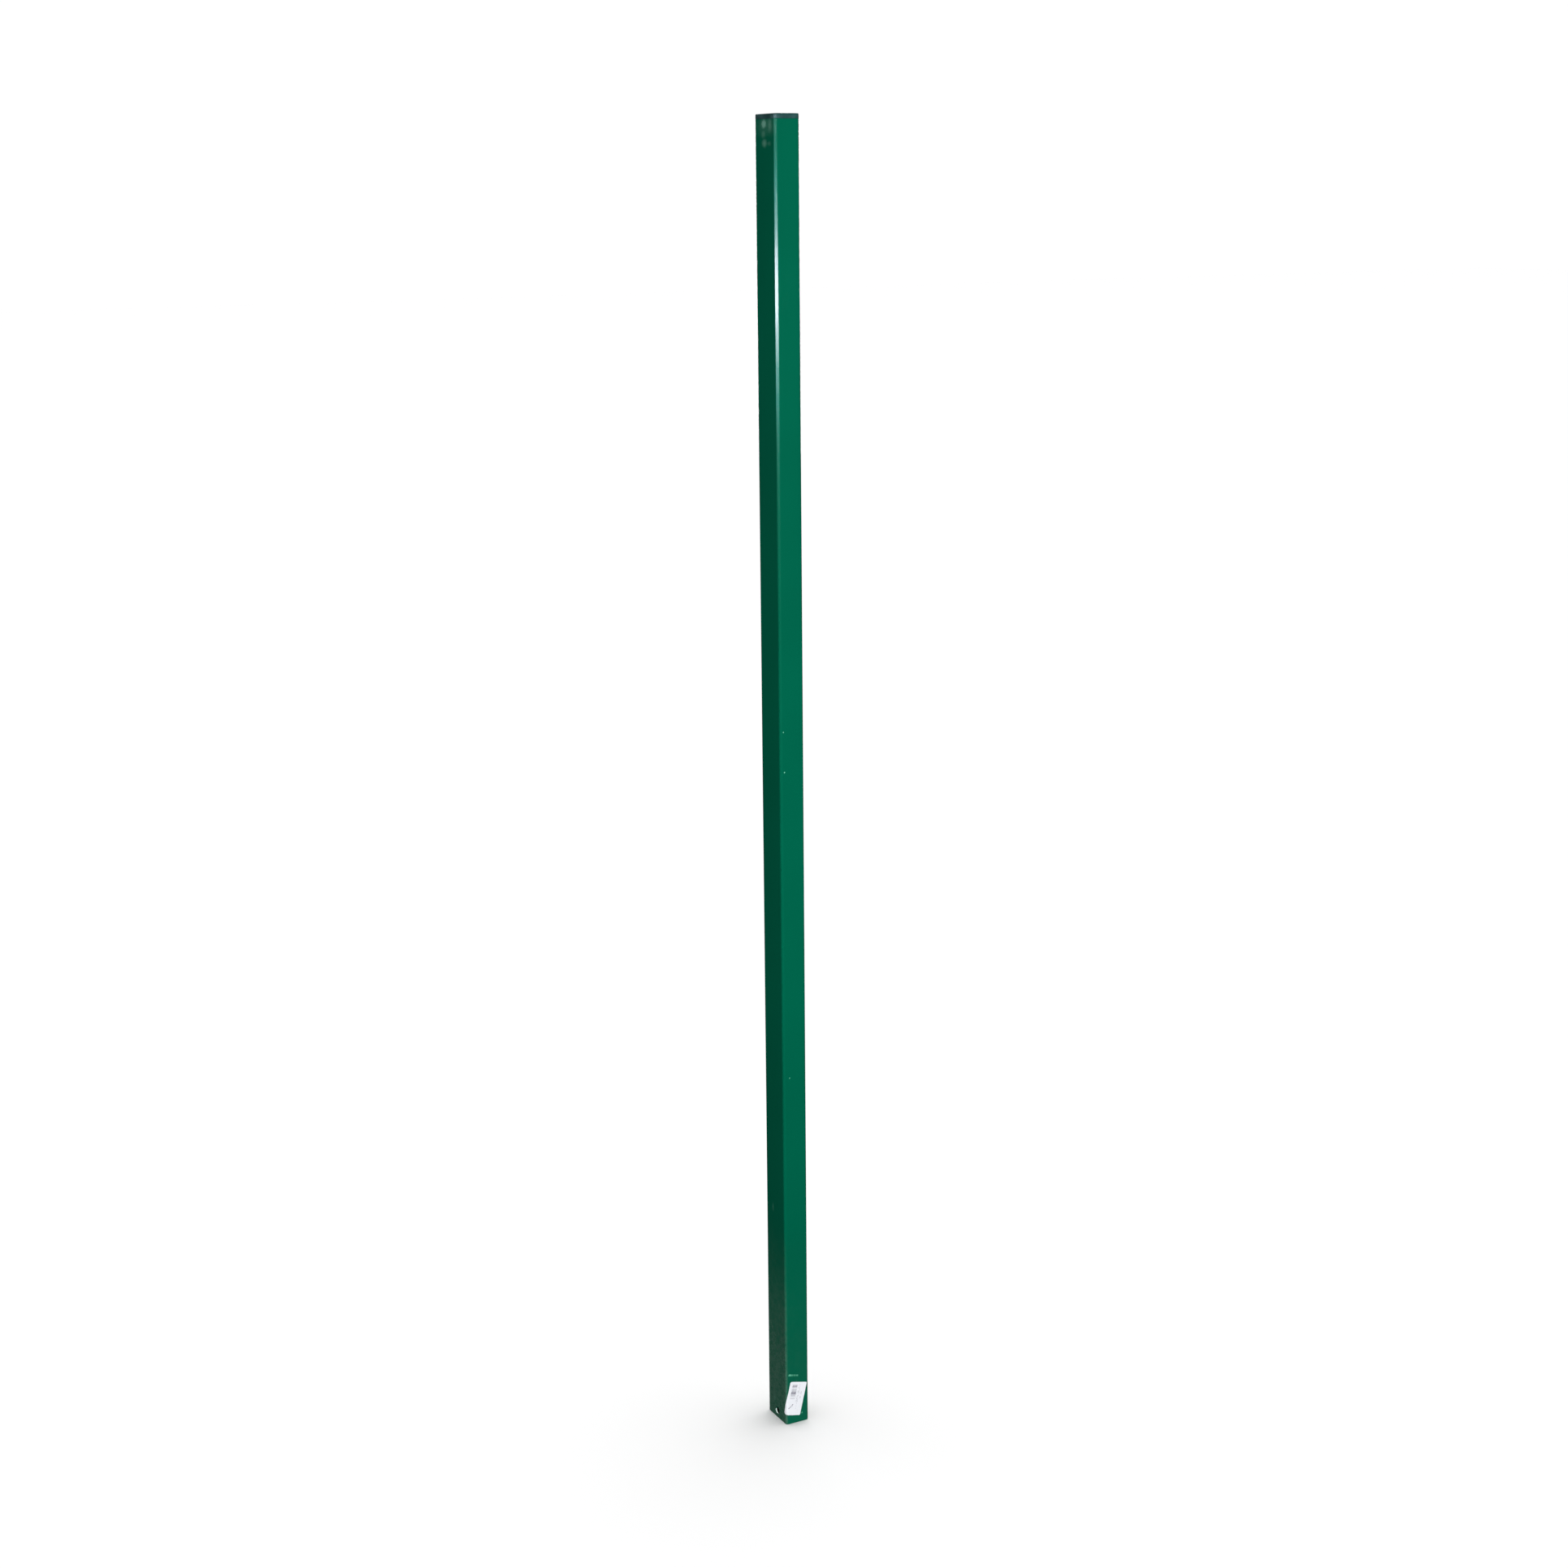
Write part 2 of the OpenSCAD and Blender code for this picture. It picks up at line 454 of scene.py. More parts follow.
SCUFFS_AND_GLINTS = (
    ((-13.0, FRONT, 84.5), (2.6, DEEP, 1.6), 13, 3, 0.45, 0.40),
    ((-8.8, FRONT, 83.5), (2.0, DEEP, 1.4), 13, 4, 0.40, 0.24),
    ((-4.6, FRONT, 82.5), (1.8, DEEP, 1.4), 13, 4, 0.40, 0.22),
    ((-0.4, FRONT, 81.5), (1.9, DEEP, 1.4), 13, 4, 0.40, 0.24),
    # The next four dots are painted highlights: bright glints in the scuff colour, not scuffs.
    ((7.9, FRONT, 14.6), (1.1, DEEP, 1.5), 0, 2, 0.60, 0.28),
    ((-14.6, FRONT, 1125.0), (0.9, DEEP, 1.1), 0, 2, 0.40, 0.40),
    ((-13.4, FRONT, 1064.0), (1.0, DEEP, 1.2), 0, 2, 0.40, 0.50),
    ((-9.0, FRONT, 582.0), (0.8, DEEP, 1.0), 0, 2, 0.40, 0.35),
)


def marks_mask(graph, place, marks):
    """Where the marks lie, each at its own strength."""
    mask = None
    for centre, reach, turn, squareness, soft, strength in marks:
        local = graph.add(
            "ShaderNodeMapping",
            {
                "Vector": place,
                "Location": Vector(centre) * MM,
                "Rotation": (0.0, math.radians(turn), 0.0),
                "Scale": Vector(reach) * MM,
            },
            vector_type="TEXTURE",
        ).outputs[0]
        mark = use(graph, rub_mark(), {
            "Place": place, "Local": local, "Squareness": squareness,
            "Grain": 340.0, "Ragged": 0.9, "Soft": soft,
        })
        mark = graph.times(mark, strength)
        mask = mark if mask is None else graph.math("MAXIMUM", mask, mark)
    return mask


def coat_material(tube):
    """Glossy coat with orange peel, rub marks, scuffs, painted highlight dots, grit, and dust with a painted
    reflection of the floor at the foot.
    """
    material, graph, shader, coordinates = new_material("coat_green")
    place = coordinates["Object"]
    shade = graph.remap(graph.noise(place, 5.0, 2.0), 0.3, 0.7, 0.96, 1.04)
    grey = graph.add("ShaderNodeCombineColor", {0: shade, 1: shade, 2: shade}).outputs[0]
    clean = graph.blend(1.0, opaque(tube.coat), grey, "MULTIPLY")
    rubs = marks_mask(graph, place, RUBS)
    # Scuffs by the label, and small dots that are painted highlights.
    scuffs = marks_mask(graph, place, SCUFFS_AND_GLINTS)
    rubbed = graph.blend(rubs, clean, opaque(tube.chalk))
    scuffed_and_glinting = graph.blend(scuffs, rubbed, opaque(tube.scuff_and_glint))
    grit = use(graph, flecks(), {"Place": place, "Scale": 26.0, "Share": 0.03})
    gritty = graph.blend(graph.times(grit, 0.35), scuffed_and_glinting, opaque(tube.scuff_and_glint))
    dust_and_sheen = use(graph, dust_and_sheen_film(), {"Place": place, "Reach": tube.dust_and_sheen_height, "Drift": 0.10})
    # The film is far stronger on the ±X faces than on the ±Y faces: that part is a painted reflection of the
    # floor, not dust.
    across = graph.split(coordinates["Normal"])[0]
    side = graph.remap(graph.unsigned(across), 0.1, 0.9, 0.012, 0.15)
    film = graph.times(dust_and_sheen, side)
    dusty_and_sheened = graph.blend(film, gritty, opaque(tube.dust_and_sheen))
    graph.feed(shader.inputs["Base Color"], dusty_and_sheened)
    scratches = use(graph, hairlines(), {"Place": place, "Scale": 700.0})
    marks = graph.math("MAXIMUM", rubs, scuffs)
    rough = graph.math("MULTIPLY_ADD", film, 1.2, tube.coat_roughness)
    rough = graph.math("MULTIPLY_ADD", marks, 0.9, rough)
    rough = graph.math("MULTIPLY_ADD", scratches, 0.12, rough, clamp=True)
    graph.feed(shader.inputs["Roughness"], rough)
    peel = use(graph, peel_height(), {
        "Place": place, "Cells": 420.0, "Cell Depth": tube.peel, "Waves": 70.0, "Wave Depth": tube.ripple,
    })
    bump(graph, shader, graph.math("MULTIPLY_ADD", scratches, -0.004 * MM, peel))
    return material


def cut_metal_and_shade_material(tube):
    """Bright metal where the hole was drilled, with painted shade in the coat's dark colour over its upper
    part, which faces down.
    """
    material, graph, shader, coordinates = new_material("cut_metal_shaded")
    place = coordinates["Object"]
    along_x = graph.vector("MULTIPLY", place, (1.0, 0.15, 0.15))
    rings = graph.remap(graph.noise(along_x, 2400.0, 2.0), 0.35, 0.65)
    metal = graph.blend(rings, (0.52, 0.66, 0.60, 1.0), (0.80, 0.90, 0.86, 1.0))
    # Painted shade: the wall's upper part takes the coat's colour, where it faces down and lies in shade.
    height = graph.split(place)[2]
    uneven = graph.math("MULTIPLY_ADD", graph.noise(place, 500.0, 2.0), 3.0 * MM, height)
    middle = tube.hole_height + 1.0 * MM
    coated = graph.remap(uneven, middle, middle + 1.6 * MM)
    graph.fill(shader, {
        "Base Color": graph.blend(coated, metal, opaque(tube.coat)),
        "Roughness": graph.remap(rings, 0.0, 1.0, 0.35, 0.5),
        "Metallic": 0.2,
    })
    return material


def zinc_material(tube):
    """Bare zinc inside the tube, with the coat's overspray near the ends."""
    material, graph, shader, coordinates = new_material("zinc_inside")
    place = coordinates["Object"]
    cells = graph.add("ShaderNodeTexVoronoi", {"Vector": place, "Scale": 110.0})
    spangle = graph.add("ShaderNodeSeparateColor", {0: cells.outputs["Color"]}).outputs[0]
    dull = graph.blend(graph.remap(spangle, 0.0, 1.0, 0.0, 0.35), opaque(tube.zinc), (0.25, 0.27, 0.29, 1.0))
    height = graph.split(place)[2]
    ragged = graph.math("MULTIPLY_ADD", graph.noise(place, 60.0, 3.0), 0.03, height)
    low_end = graph.remap(ragged, 0.065, 0.03)
    high_end = graph.remap(ragged, LENGTH - 0.04, LENGTH)
    spray = graph.math("MAXIMUM", low_end, high_end)
    graph.fill(shader, {
        "Base Color": graph.blend(spray, dull, opaque(tube.coat)),
        "Metallic": graph.remap(spray, 0.0, 1.0, 0.85, 0.0),
        "Roughness": graph.remap(spangle, 0.0, 1.0, 0.38, 0.6),
    })
    bump(graph, shader, graph.times(graph.noise(place, 500.0, 2.0), 0.01 * MM))
    return material


def weld_material():
    """The burnt, rippled metal of the weld bead."""
    material, graph, shader, coordinates = new_material("weld_bead_metal")
    place = coordinates["Object"]
    heat = graph.remap(graph.noise(place, 90.0, 3.0), 0.3, 0.7)
    graph.fill(shader, {
        "Base Color": graph.blend(heat, (0.10, 0.09, 0.10, 1.0), (0.30, 0.25, 0.20, 1.0)),
        "Roughness": graph.remap(heat, 0.0, 1.0, 0.35, 0.65),
        "Metallic": 0.8,
    })
    return material


def plastic_material(cap):
    """Moulded plastic with a fine spark-eroded grain and pale handling rubs."""
    material, graph, shader, coordinates = new_material("cap_moulding_plastic")
    place = coordinates["Object"]
    cloud = graph.remap(graph.noise(place, 60.0, 3.0), 0.35, 0.7)
    tone = graph.blend(cloud, opaque(cap.plastic), opaque([1.5 * part + 0.01 for part in cap.plastic]))
    scuffs = use(graph, hairlines(), {"Place": place, "Scale": 900.0})
    graph.fill(shader, {
        "Base Color": graph.blend(graph.times(scuffs, 0.12), tone, (0.20, 0.32, 0.30, 1.0)),
        "Roughness": graph.remap(cloud, 0.0, 1.0, cap.roughness - 0.06, cap.roughness + 0.1),
    })
    grain = graph.noise(place, 2600.0, 2.0, 0.6)
    sink = graph.noise(place, 90.0, 1.0, 0.3)
    bump(graph, shader, graph.math("MULTIPLY_ADD", grain, 0.02 * MM, graph.times(sink, 0.08 * MM)))
    return material


def film_material(label):
    """White film with a faint paper tooth, a little grime and soft wrinkles."""
    material, graph, shader, coordinates = new_material("label_film_white")
    place = coordinates["Object"]
    grime = graph.remap(graph.noise(place, 110.0, 4.0, 0.6), 0.5, 0.8)
    graph.fill(shader, {
        "Base Color": graph.blend(graph.times(grime, 0.14), opaque(label.film), (0.55, 0.60, 0.58, 1.0)),
        "Roughness": graph.remap(grime, 0.0, 1.0, 0.38, 0.6),
    })
    tooth = graph.noise(place, 3200.0, 2.0, 0.6)
    wrinkle = graph.noise(place, 130.0, 2.0, 0.4)
    bump(graph, shader, graph.math("MULTIPLY_ADD", tooth, 0.006 * MM, graph.times(wrinkle, 0.05 * MM)))
    return material


def ink_material(label):
    """Thermal print, a little patchy."""
    material, graph, shader, coordinates = new_material("label_ink")
    patch = graph.remap(graph.noise(coordinates["Object"], 900.0, 3.0, 0.7), 0.35, 0.75, 0.0, 0.5)
    printed = graph.blend(patch, opaque(label.ink), (0.45, 0.45, 0.50, 1.0))
    graph.fill(shader, {"Base Color": printed, "Roughness": 0.55})
    return material


# Mesh helpers


def new_object(name, mesh):
    """Links a mesh to the scene under a name."""
    made = bpy.data.objects.new(name, mesh)
    bpy.context.scene.collection.objects.link(made)
    return made


def mesh_from(name, points, faces, material=None):
    """A mesh from points and faces, with its normals outwards."""
    mesh = bpy.data.meshes.new(name)
    mesh.from_pydata([tuple(point) for point in points], [], faces)
    shell = bmesh.new()
    shell.from_mesh(mesh)
    bmesh.ops.remove_doubles(shell, verts=shell.verts, dist=1e-7)
    bmesh.ops.recalc_face_normals(shell, faces=shell.faces)
    shell.to_mesh(mesh)
    shell.free()
    if material:
        mesh.materials.append(material)
    return mesh


def smooth(mesh, sharp_degrees=40.0):
    """Smooth shading that keeps edges over an angle sharp."""
    mesh.polygons.foreach_set("use_smooth", [True] * len(mesh.polygons))
    mesh.set_sharp_from_angle(angle=math.radians(sharp_degrees))


def join_meshes(name, meshes):
    """One mesh from several that share their materials."""
    whole = bmesh.new()
    for mesh in meshes:
        whole.from_mesh(mesh)
    joined = bpy.data.meshes.new(name)
    whole.to_mesh(joined)
    whole.free()
    for material in meshes[0].materials:
        joined.materials.append(material)
    return joined


def grown(source, tree, values, name, finish=None):
    """Runs a geometry tree on a source mesh and gives the result as a plain mesh."""
    holder = new_object(name + "_source", source)
    modifier = holder.modifiers.new("grow", "NODES")
    modifier.node_group = tree
    inputs = {item.name: item.identifier for item in tree.interface.items_tree if item.in_out == "INPUT"}
    for socket_name, value in values.items():
        modifier[inputs[socket_name]] = value
    if finish:
        finish(holder)
    depsgraph = bpy.context.evaluated_depsgraph_get()
    mesh = bpy.data.meshes.new_from_object(holder.evaluated_get(depsgraph), depsgraph=depsgraph)
    mesh.name = name
    bpy.data.objects.remove(holder)
    return mesh


def rounded_outline(half_x, half_y, radius, steps, along_x, along_y):
    """Points round a rounded rectangle, with steps to each corner and parts to each side."""
    points = []
    corners = ((1, 1, 0), (-1, 1, 90), (-1, -1, 180), (1, -1, 270))
    for index, (sign_x, sign_y, start) in enumerate(corners):
        centre = Vector((sign_x * (half_x - radius), sign_y * (half_y - radius)))
        arc = []
        for step in range(steps + 1):
            turn = math.radians(start + 90.0 * step / steps)
            arc.append(centre + radius * Vector((math.cos(turn), math.sin(turn))))
        points += arc
        next_x, next_y, next_start = corners[(index + 1) % 4]
        turn = math.radians(next_start)
        goal = Vector((next_x * (half_x - radius), next_y * (half_y - radius)))
        goal += radius * Vector((math.cos(turn), math.sin(turn)))
        cuts = along_x if index % 2 == 0 else along_y
        points += [arc[-1].lerp(goal, cut / cuts) for cut in range(1, cuts)]
    return points


def loft(rings, name, material):
    """A closed skin through rings of points that all have the same count."""
    points = [point for ring in rings for point in ring]
    count = len(rings[0])
    faces = []
    for level in range(len(rings) - 1):
        for index in range(count):
            after = (index + 1) % count
            low, high = level * count, (level + 1) * count
            faces.append((low + index, low + after, high + after, high + index))
    faces.append(tuple(range(count)))
    faces.append(tuple(range((len(rings) - 1) * count, len(rings) * count)))
    return mesh_from(name, points, faces, material)


def place_piece(name, mesh, body, node=None):
    """Names a finished mesh, rides it on its body and hides the CAD part that it stands in for."""
    piece = new_object(name, mesh)
    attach(piece, body)
    if node:
        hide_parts(node)
    return piece


# Geometry trees


def close_tree(graph, result, geometry, material):
    """Ends a geometry tree with plain geometry in one material, and gives the tree."""
    real = graph.add("GeometryNodeRealizeInstances", {"Geometry": geometry})
    done = graph.add("GeometryNodeSetMaterial", {"Geometry": real.outputs["Geometry"], "Material": material})
    graph.feed(result["Geometry"], done.outputs["Geometry"])
    return graph.tree


def drill_through(graph, given, solid):
    """A node that takes the cross hole out of a solid."""
    radius = graph.math("DIVIDE", given["Hole Diameter"], 2.0)
    drill = graph.add("GeometryNodeMeshCylinder", {
        "Vertices": 64, "Radius": radius, "Depth": given["Hole Depth"],
    })
    centre = graph.combine(z=given["Hole Height"])
    crossing = graph.add("GeometryNodeTransform", {
        "Geometry": drill.outputs["Mesh"], "Translation": centre,
        "Rotation": (0.0, math.radians(90.0), 0.0),
    })
    return graph.add("GeometryNodeMeshBoolean", {
        "Mesh 1": solid, "Mesh 2": crossing.outputs["Geometry"],
    }, operation="DIFFERENCE", solver="EXACT")


def tube_tree():
    """Sweeps the wall's upright section round the tube's outline and drills the cross hole."""
    graph, given, result = new_tree(
        "tube_sweep", "GeometryNodeTree",
        {
            "Outline": "geometry", "Length": "float", "Wall": "float", "Levels": "int", "Cut Radius": "float",
            "Waviness": "float", "Wave Length": "float", "Seed": "float", "Hole Diameter": "float",
            "Hole Height": "float", "Hole Depth": "float", "Inside X": "float", "Inside Y": "float",
            "Coat": "material", "Zinc": "material", "Cut": "material",
        },
        {"Geometry": "geometry"},
    )
    half_wall = graph.times(given["Wall"], 0.5)
    half_length = graph.times(given["Length"], 0.5)
    plate = graph.add("GeometryNodeCurvePrimitiveQuadrilateral", {
        "Width": given["Wall"], "Height": given["Length"],
    }, mode="RECTANGLE")
    eased = graph.add("GeometryNodeFilletCurve", {
        "Curve": plate.outputs["Curve"], "Radius": given["Cut Radius"], "Count": 4,
    }, mode="POLY")

    # Only the two long sides are divided: each starts at a point on a face, at opposite corners.
    corner = graph.split(graph.position())
    on_face = graph.math("GREATER_THAN", graph.unsigned(corner[0]), graph.times(half_wall, 0.999))
    starts = graph.math("LESS_THAN", graph.times(corner[0], corner[1]), 0.0)
    cuts = graph.times(graph.times(on_face, starts), given["Levels"])
    section = graph.add("GeometryNodeSubdivideCurve", {"Curve": eased.outputs["Curve"], "Cuts": cuts})
    path = graph.add("GeometryNodeMeshToCurve", {"Mesh": given["Outline"]})
    upright = graph.add("GeometryNodeSetCurveNormal", {"Curve": path.outputs["Curve"]}, mode="Z_UP")
    swept = graph.add("GeometryNodeCurveToMesh", {
        "Curve": upright.outputs["Curve"], "Profile Curve": section.outputs["Curve"],
    })

    # The rings crowd together at both ends, so that the eased edges keep crisp shading.
    parts = graph.split(graph.position())
    straight = graph.minus(half_length, given["Cut Radius"])
    held = graph.math("MAXIMUM", graph.math("MINIMUM", parts[2], straight), graph.times(straight, -1.0))
    swing = graph.math("SINE", graph.times(graph.math("DIVIDE", held, straight), math.pi / 2))
    crowded = graph.math("MULTIPLY_ADD", swing, straight, graph.minus(parts[2], held))
    height = graph.plus(crowded, half_length)
    standing = graph.combine(parts[0], parts[1], height)
    risen = graph.add("GeometryNodeSetPosition", {
        "Geometry": swept.outputs["Mesh"], "Position": standing,
    })

    # Both skins of a wall wander together, because the noise reads the place and not the face.
    place = graph.position()
    frequency = graph.math("DIVIDE", 1.0, given["Wave Length"])
    wander = []
    for shift in (0.0, 40.0):
        moved = graph.vector("ADD", place, (shift, shift, 0.0))
        seeded = graph.add("ShaderNodeTexNoise", {
            "Vector": moved, "W": given["Seed"], "Scale": frequency, "Detail": 1.0,
        }, noise_dimensions="4D")
        centred = graph.minus(seeded.outputs[0], 0.5)
        wander.append(graph.times(centred, graph.times(given["Waviness"], 2.0)))
    offset = graph.combine(wander[0], wander[1])
    wavy = graph.add("GeometryNodeSetPosition", {
        "Geometry": risen.outputs["Geometry"], "Offset": offset,
    })

    drilled = drill_through(graph, given, wavy.outputs["Geometry"])

    # Faces of the inner skin lie within the bore.
    middle = graph.split(graph.position())
    within_x = graph.math("LESS_THAN", graph.unsigned(middle[0]), given["Inside X"])
    within_y = graph.math("LESS_THAN", graph.unsigned(middle[1]), given["Inside Y"])
    inside = graph.times(within_x, within_y)
    coated = graph.add("GeometryNodeSetMaterial", {
        "Geometry": drilled.outputs["Mesh"], "Material": given["Coat"],
    })
    lined = graph.add("GeometryNodeSetMaterial", {
        "Geometry": coated.outputs["Geometry"], "Selection": inside, "Material": given["Zinc"],
    })

    # The hole's wall is the part that the drill's surface left.
    rise = graph.minus(middle[2], given["Hole Height"])
    squares = graph.math("MULTIPLY_ADD", rise, rise, graph.times(middle[1], middle[1]))
    reach = graph.times(given["Hole Diameter"], 0.505)
    facing = graph.split(graph.add("GeometryNodeInputNormal").outputs[0])[0]
    turned = graph.math("LESS_THAN", graph.unsigned(facing), 0.5)
    bored = graph.times(turned, graph.math("LESS_THAN", squares, graph.times(reach, reach)))
    drilled_wall = graph.add("GeometryNodeSetMaterial", {
        "Geometry": lined.outputs["Geometry"], "Selection": bored, "Material": given["Cut"],
    })
    even = graph.add("GeometryNodeSetShadeSmooth", {"Geometry": drilled_wall.outputs["Geometry"]})
    real = graph.add("GeometryNodeRealizeInstances", {"Geometry": even.outputs["Geometry"]})
    graph.feed(result["Geometry"], real.outputs["Geometry"])
    return graph.tree


def bead_tree():
    """Sweeps a low oval up the tube's seam and ripples it."""
    graph, given, result = new_tree(
        "weld_bead_sweep", "GeometryNodeTree",
        {
            "Line": "geometry", "Width": "float", "Height": "float", "Rings": "int",
            "Ripple": "float", "Ripple Length": "float", "Metal": "material",
            "Hole Diameter": "float", "Hole Height": "float", "Hole Depth": "float",
        },
        {"Geometry": "geometry"},
    )
    path = graph.add("GeometryNodeMeshToCurve", {"Mesh": given["Line"]})
    even = graph.add("GeometryNodeResampleCurve", {"Curve": path.outputs["Curve"], "Count": given["Rings"]})
    upright = graph.add("GeometryNodeSetCurveNormal", {"Curve": even.outputs["Curve"]}, mode="MINIMUM_TWIST")
    oval = graph.add("GeometryNodeCurvePrimitiveCircle", {"Resolution": 14, "Radius": 1.0}, mode="RADIUS")
    swept = graph.add("GeometryNodeCurveToMesh", {
        "Curve": upright.outputs["Curve"],
        "Profile Curve": graph.add("GeometryNodeTransform", {
            "Geometry": oval.outputs["Curve"],
            "Scale": (MM, MM, MM),
        }).outputs["Geometry"],
        "Fill Caps": True,
    })
    # The swept rod is a millimetre in radius about the line, so its place is scaled to the bead's size.
    place = graph.position()
    frequency = graph.math("DIVIDE", 1.0, given["Ripple Length"])
    ripples = graph.noise(graph.vector("SCALE", place, scale=frequency), 1.0, 2.0)
    swell = graph.math("MULTIPLY_ADD", graph.minus(ripples, 0.5), given["Ripple"], 1.0)
    around = graph.split(place)
    tall = graph.times(graph.times(around[0], given["Height"]), swell)
    wide = graph.times(graph.times(around[1], given["Width"]), swell)
    shaped = graph.combine(graph.times(tall, 1.0 / MM), graph.times(wide, 0.5 / MM), around[2])
    bead = graph.add("GeometryNodeSetPosition", {"Geometry": swept.outputs["Mesh"], "Position": shaped})
    drilled = drill_through(graph, given, bead.outputs["Geometry"])
    return close_tree(graph, result, drilled.outputs["Mesh"], given["Metal"])


def stack_tree():
    """Repeats a part at an even pitch along Z, such as a row of fins."""
    graph, given, result = new_tree(
        "stacked_rows", "GeometryNodeTree",
        {"Part": "geometry", "Rows": "int", "Pitch": "float", "Material": "material"},
        {"Geometry": "geometry"},
    )
    step = graph.combine(z=given["Pitch"])
    line = graph.add("GeometryNodeMeshLine", {"Count": given["Rows"], "Offset": step}, mode="OFFSET")
    rows = graph.add("GeometryNodeInstanceOnPoints", {
        "Points": line.outputs["Mesh"], "Instance": given["Part"],
    })
    return close_tree(graph, result, rows.outputs["Instances"], given["Material"])


def dash_tree():
    """Repeats a dash along Y, each with its own thickness and width: bars of a code or dashes of print."""
    graph, given, result = new_tree(
        "print_dashes", "GeometryNodeTree",
        {
            "Part": "geometry", "Count": "int", "Pitch": "float", "Width": "float", "Width Spread": "float",
            "Thick": "float", "Thick Spread": "float", "Keep": "float", "Seed": "int", "Ink": "material",
        },
        {"Geometry": "geometry"},
    )
    step = graph.combine(y=given["Pitch"])
    line = graph.add("GeometryNodeMeshLine", {"Count": given["Count"], "Offset": step}, mode="OFFSET")

    def chance(shift):
        node = graph.add("FunctionNodeRandomValue", data_type="FLOAT")
        graph.feed(named(node.inputs, "Seed"), graph.plus(given["Seed"], float(shift)))
        return named(node.outputs, "Value_001")

    def spread(base, amount, shift):
        part = graph.times(chance(shift), amount)
        return graph.times(base, graph.minus(1.0, part))

    size = graph.combine(
        spread(given["Width"], given["Width Spread"], 1),
        spread(given["Thick"], given["Thick Spread"], 2),
        1.0,
    )
    kept = graph.math("LESS_THAN", chance(3), given["Keep"])
    dashes = graph.add("GeometryNodeInstanceOnPoints", {
        "Points": line.outputs["Mesh"], "Selection": kept, "Instance": given["Part"], "Scale": size,
    })
    return close_tree(graph, result, dashes.outputs["Instances"], given["Ink"])


# Tube


def outline_mesh(half_x, half_y, radius, steps, along_x, along_y):
    """The closed line that the wall's section is swept round."""
    points = rounded_outline(half_x, half_y, radius, steps, along_x, along_y)
    edges = [(index, (index + 1) % len(points)) for index in range(len(points))]
    mesh = bpy.data.meshes.new("tube_outline")
    mesh.from_pydata([(point.x, point.y, 0.0) for point in points], edges, [])
    return mesh


def ease_hole(width):
    """A finish that rounds the hole's rims and keeps the flat faces' shading."""

    def add(holder):
        bevel = holder.modifiers.new("hole_rims", "BEVEL")
        bevel.width = width
        bevel.segments = 3
        bevel.limit_method = "ANGLE"
        bevel.angle_limit = math.radians(50.0)
        bevel.harden_normals = True

    return add


def build_tube(tube):
    """The swept tube and the weld bead inside it."""
    half_wall = tube.wall / 2
    outline = outline_mesh(
        HALF_X - half_wall, HALF_Y - half_wall, tube.corner_radius - half_wall,
        steps=14, along_x=8, along_y=12,
    )
    inner_skin = 0.2 * tube.wall
    mesh = grown(
        outline, tube_tree(),
        {
            "Length": LENGTH, "Wall": tube.wall, "Levels": 160, "Cut Radius": tube.cut_radius,
            "Waviness": tube.waviness, "Wave Length": tube.wave_length, "Seed": 3.0,
            "Hole Diameter": tube.hole_diameter, "Hole Height": tube.hole_height, "Hole Depth": 4 * HALF_X,
            "Inside X": HALF_X - tube.wall + inner_skin, "Inside Y": HALF_Y - tube.wall + inner_skin,
            "Coat": coat_material(tube), "Zinc": zinc_material(tube), "Cut": cut_metal_and_shade_material(tube),
        },
        "coated_tube", ease_hole(tube.cut_radius),
    )
    place_piece("coated_tube", mesh, "post", "post_tube")

    inset = tube.cut_radius
    line = bpy.data.meshes.new("bead_line")
    line.from_pydata([(0.0, 0.0, inset), (0.0, 0.0, LENGTH - inset)], [(0, 1)], [])
    bead = grown(
        line, bead_tree(),
        {
            "Width": tube.bead_width, "Height": tube.bead_height, "Rings": 500,
            "Ripple": 0.5, "Ripple Length": 6 * MM, "Metal": weld_material(),
            "Hole Diameter": tube.hole_diameter, "Hole Height": tube.hole_height, "Hole Depth": 4 * HALF_X,
        },
        "weld_bead",
    )
    bead.transform(Matrix.Translation((HALF_X - tube.wall, 0.0, 0.0)))
    smooth(bead, 50.0)
    place_piece("weld_bead", bead, "post")


# Cap

# Insets of the rings that make the crown, in millimetres from the tube's outside.
CROWN_INSETS = (3.0, 5.0, 8.0, 11.0, 14.0, 17.0, 18.6)


def cap_ring(inset, height, corner_radius):
    """A ring of the moulding, inset from the tube's outside. Its corners stay round to the last."""
    half_x = HALF_X - inset
    half_y = HALF_Y - inset
    least_radius = 0.9 * MM
    radius = max(corner_radius - inset, least_radius)
    radius = min(radius, half_x * 0.9)
    outline = rounded_outline(half_x, half_y, radius, steps=8, along_x=6, along_y=8)
    return [Vector((point.x, point.y, height)) for point in outline]


def quarter(centre_inset, centre_height, radius, start, stop, steps):
    """Insets and heights round an arc of the moulding's section. 0 degrees points outwards and 90 up."""
    turns = [math.radians(start + (stop - start) * step / steps) for step in range(steps + 1)]
    return [
        (centre_inset - radius * math.cos(turn), centre_height + radius * math.sin(turn)) for turn in turns
    ]


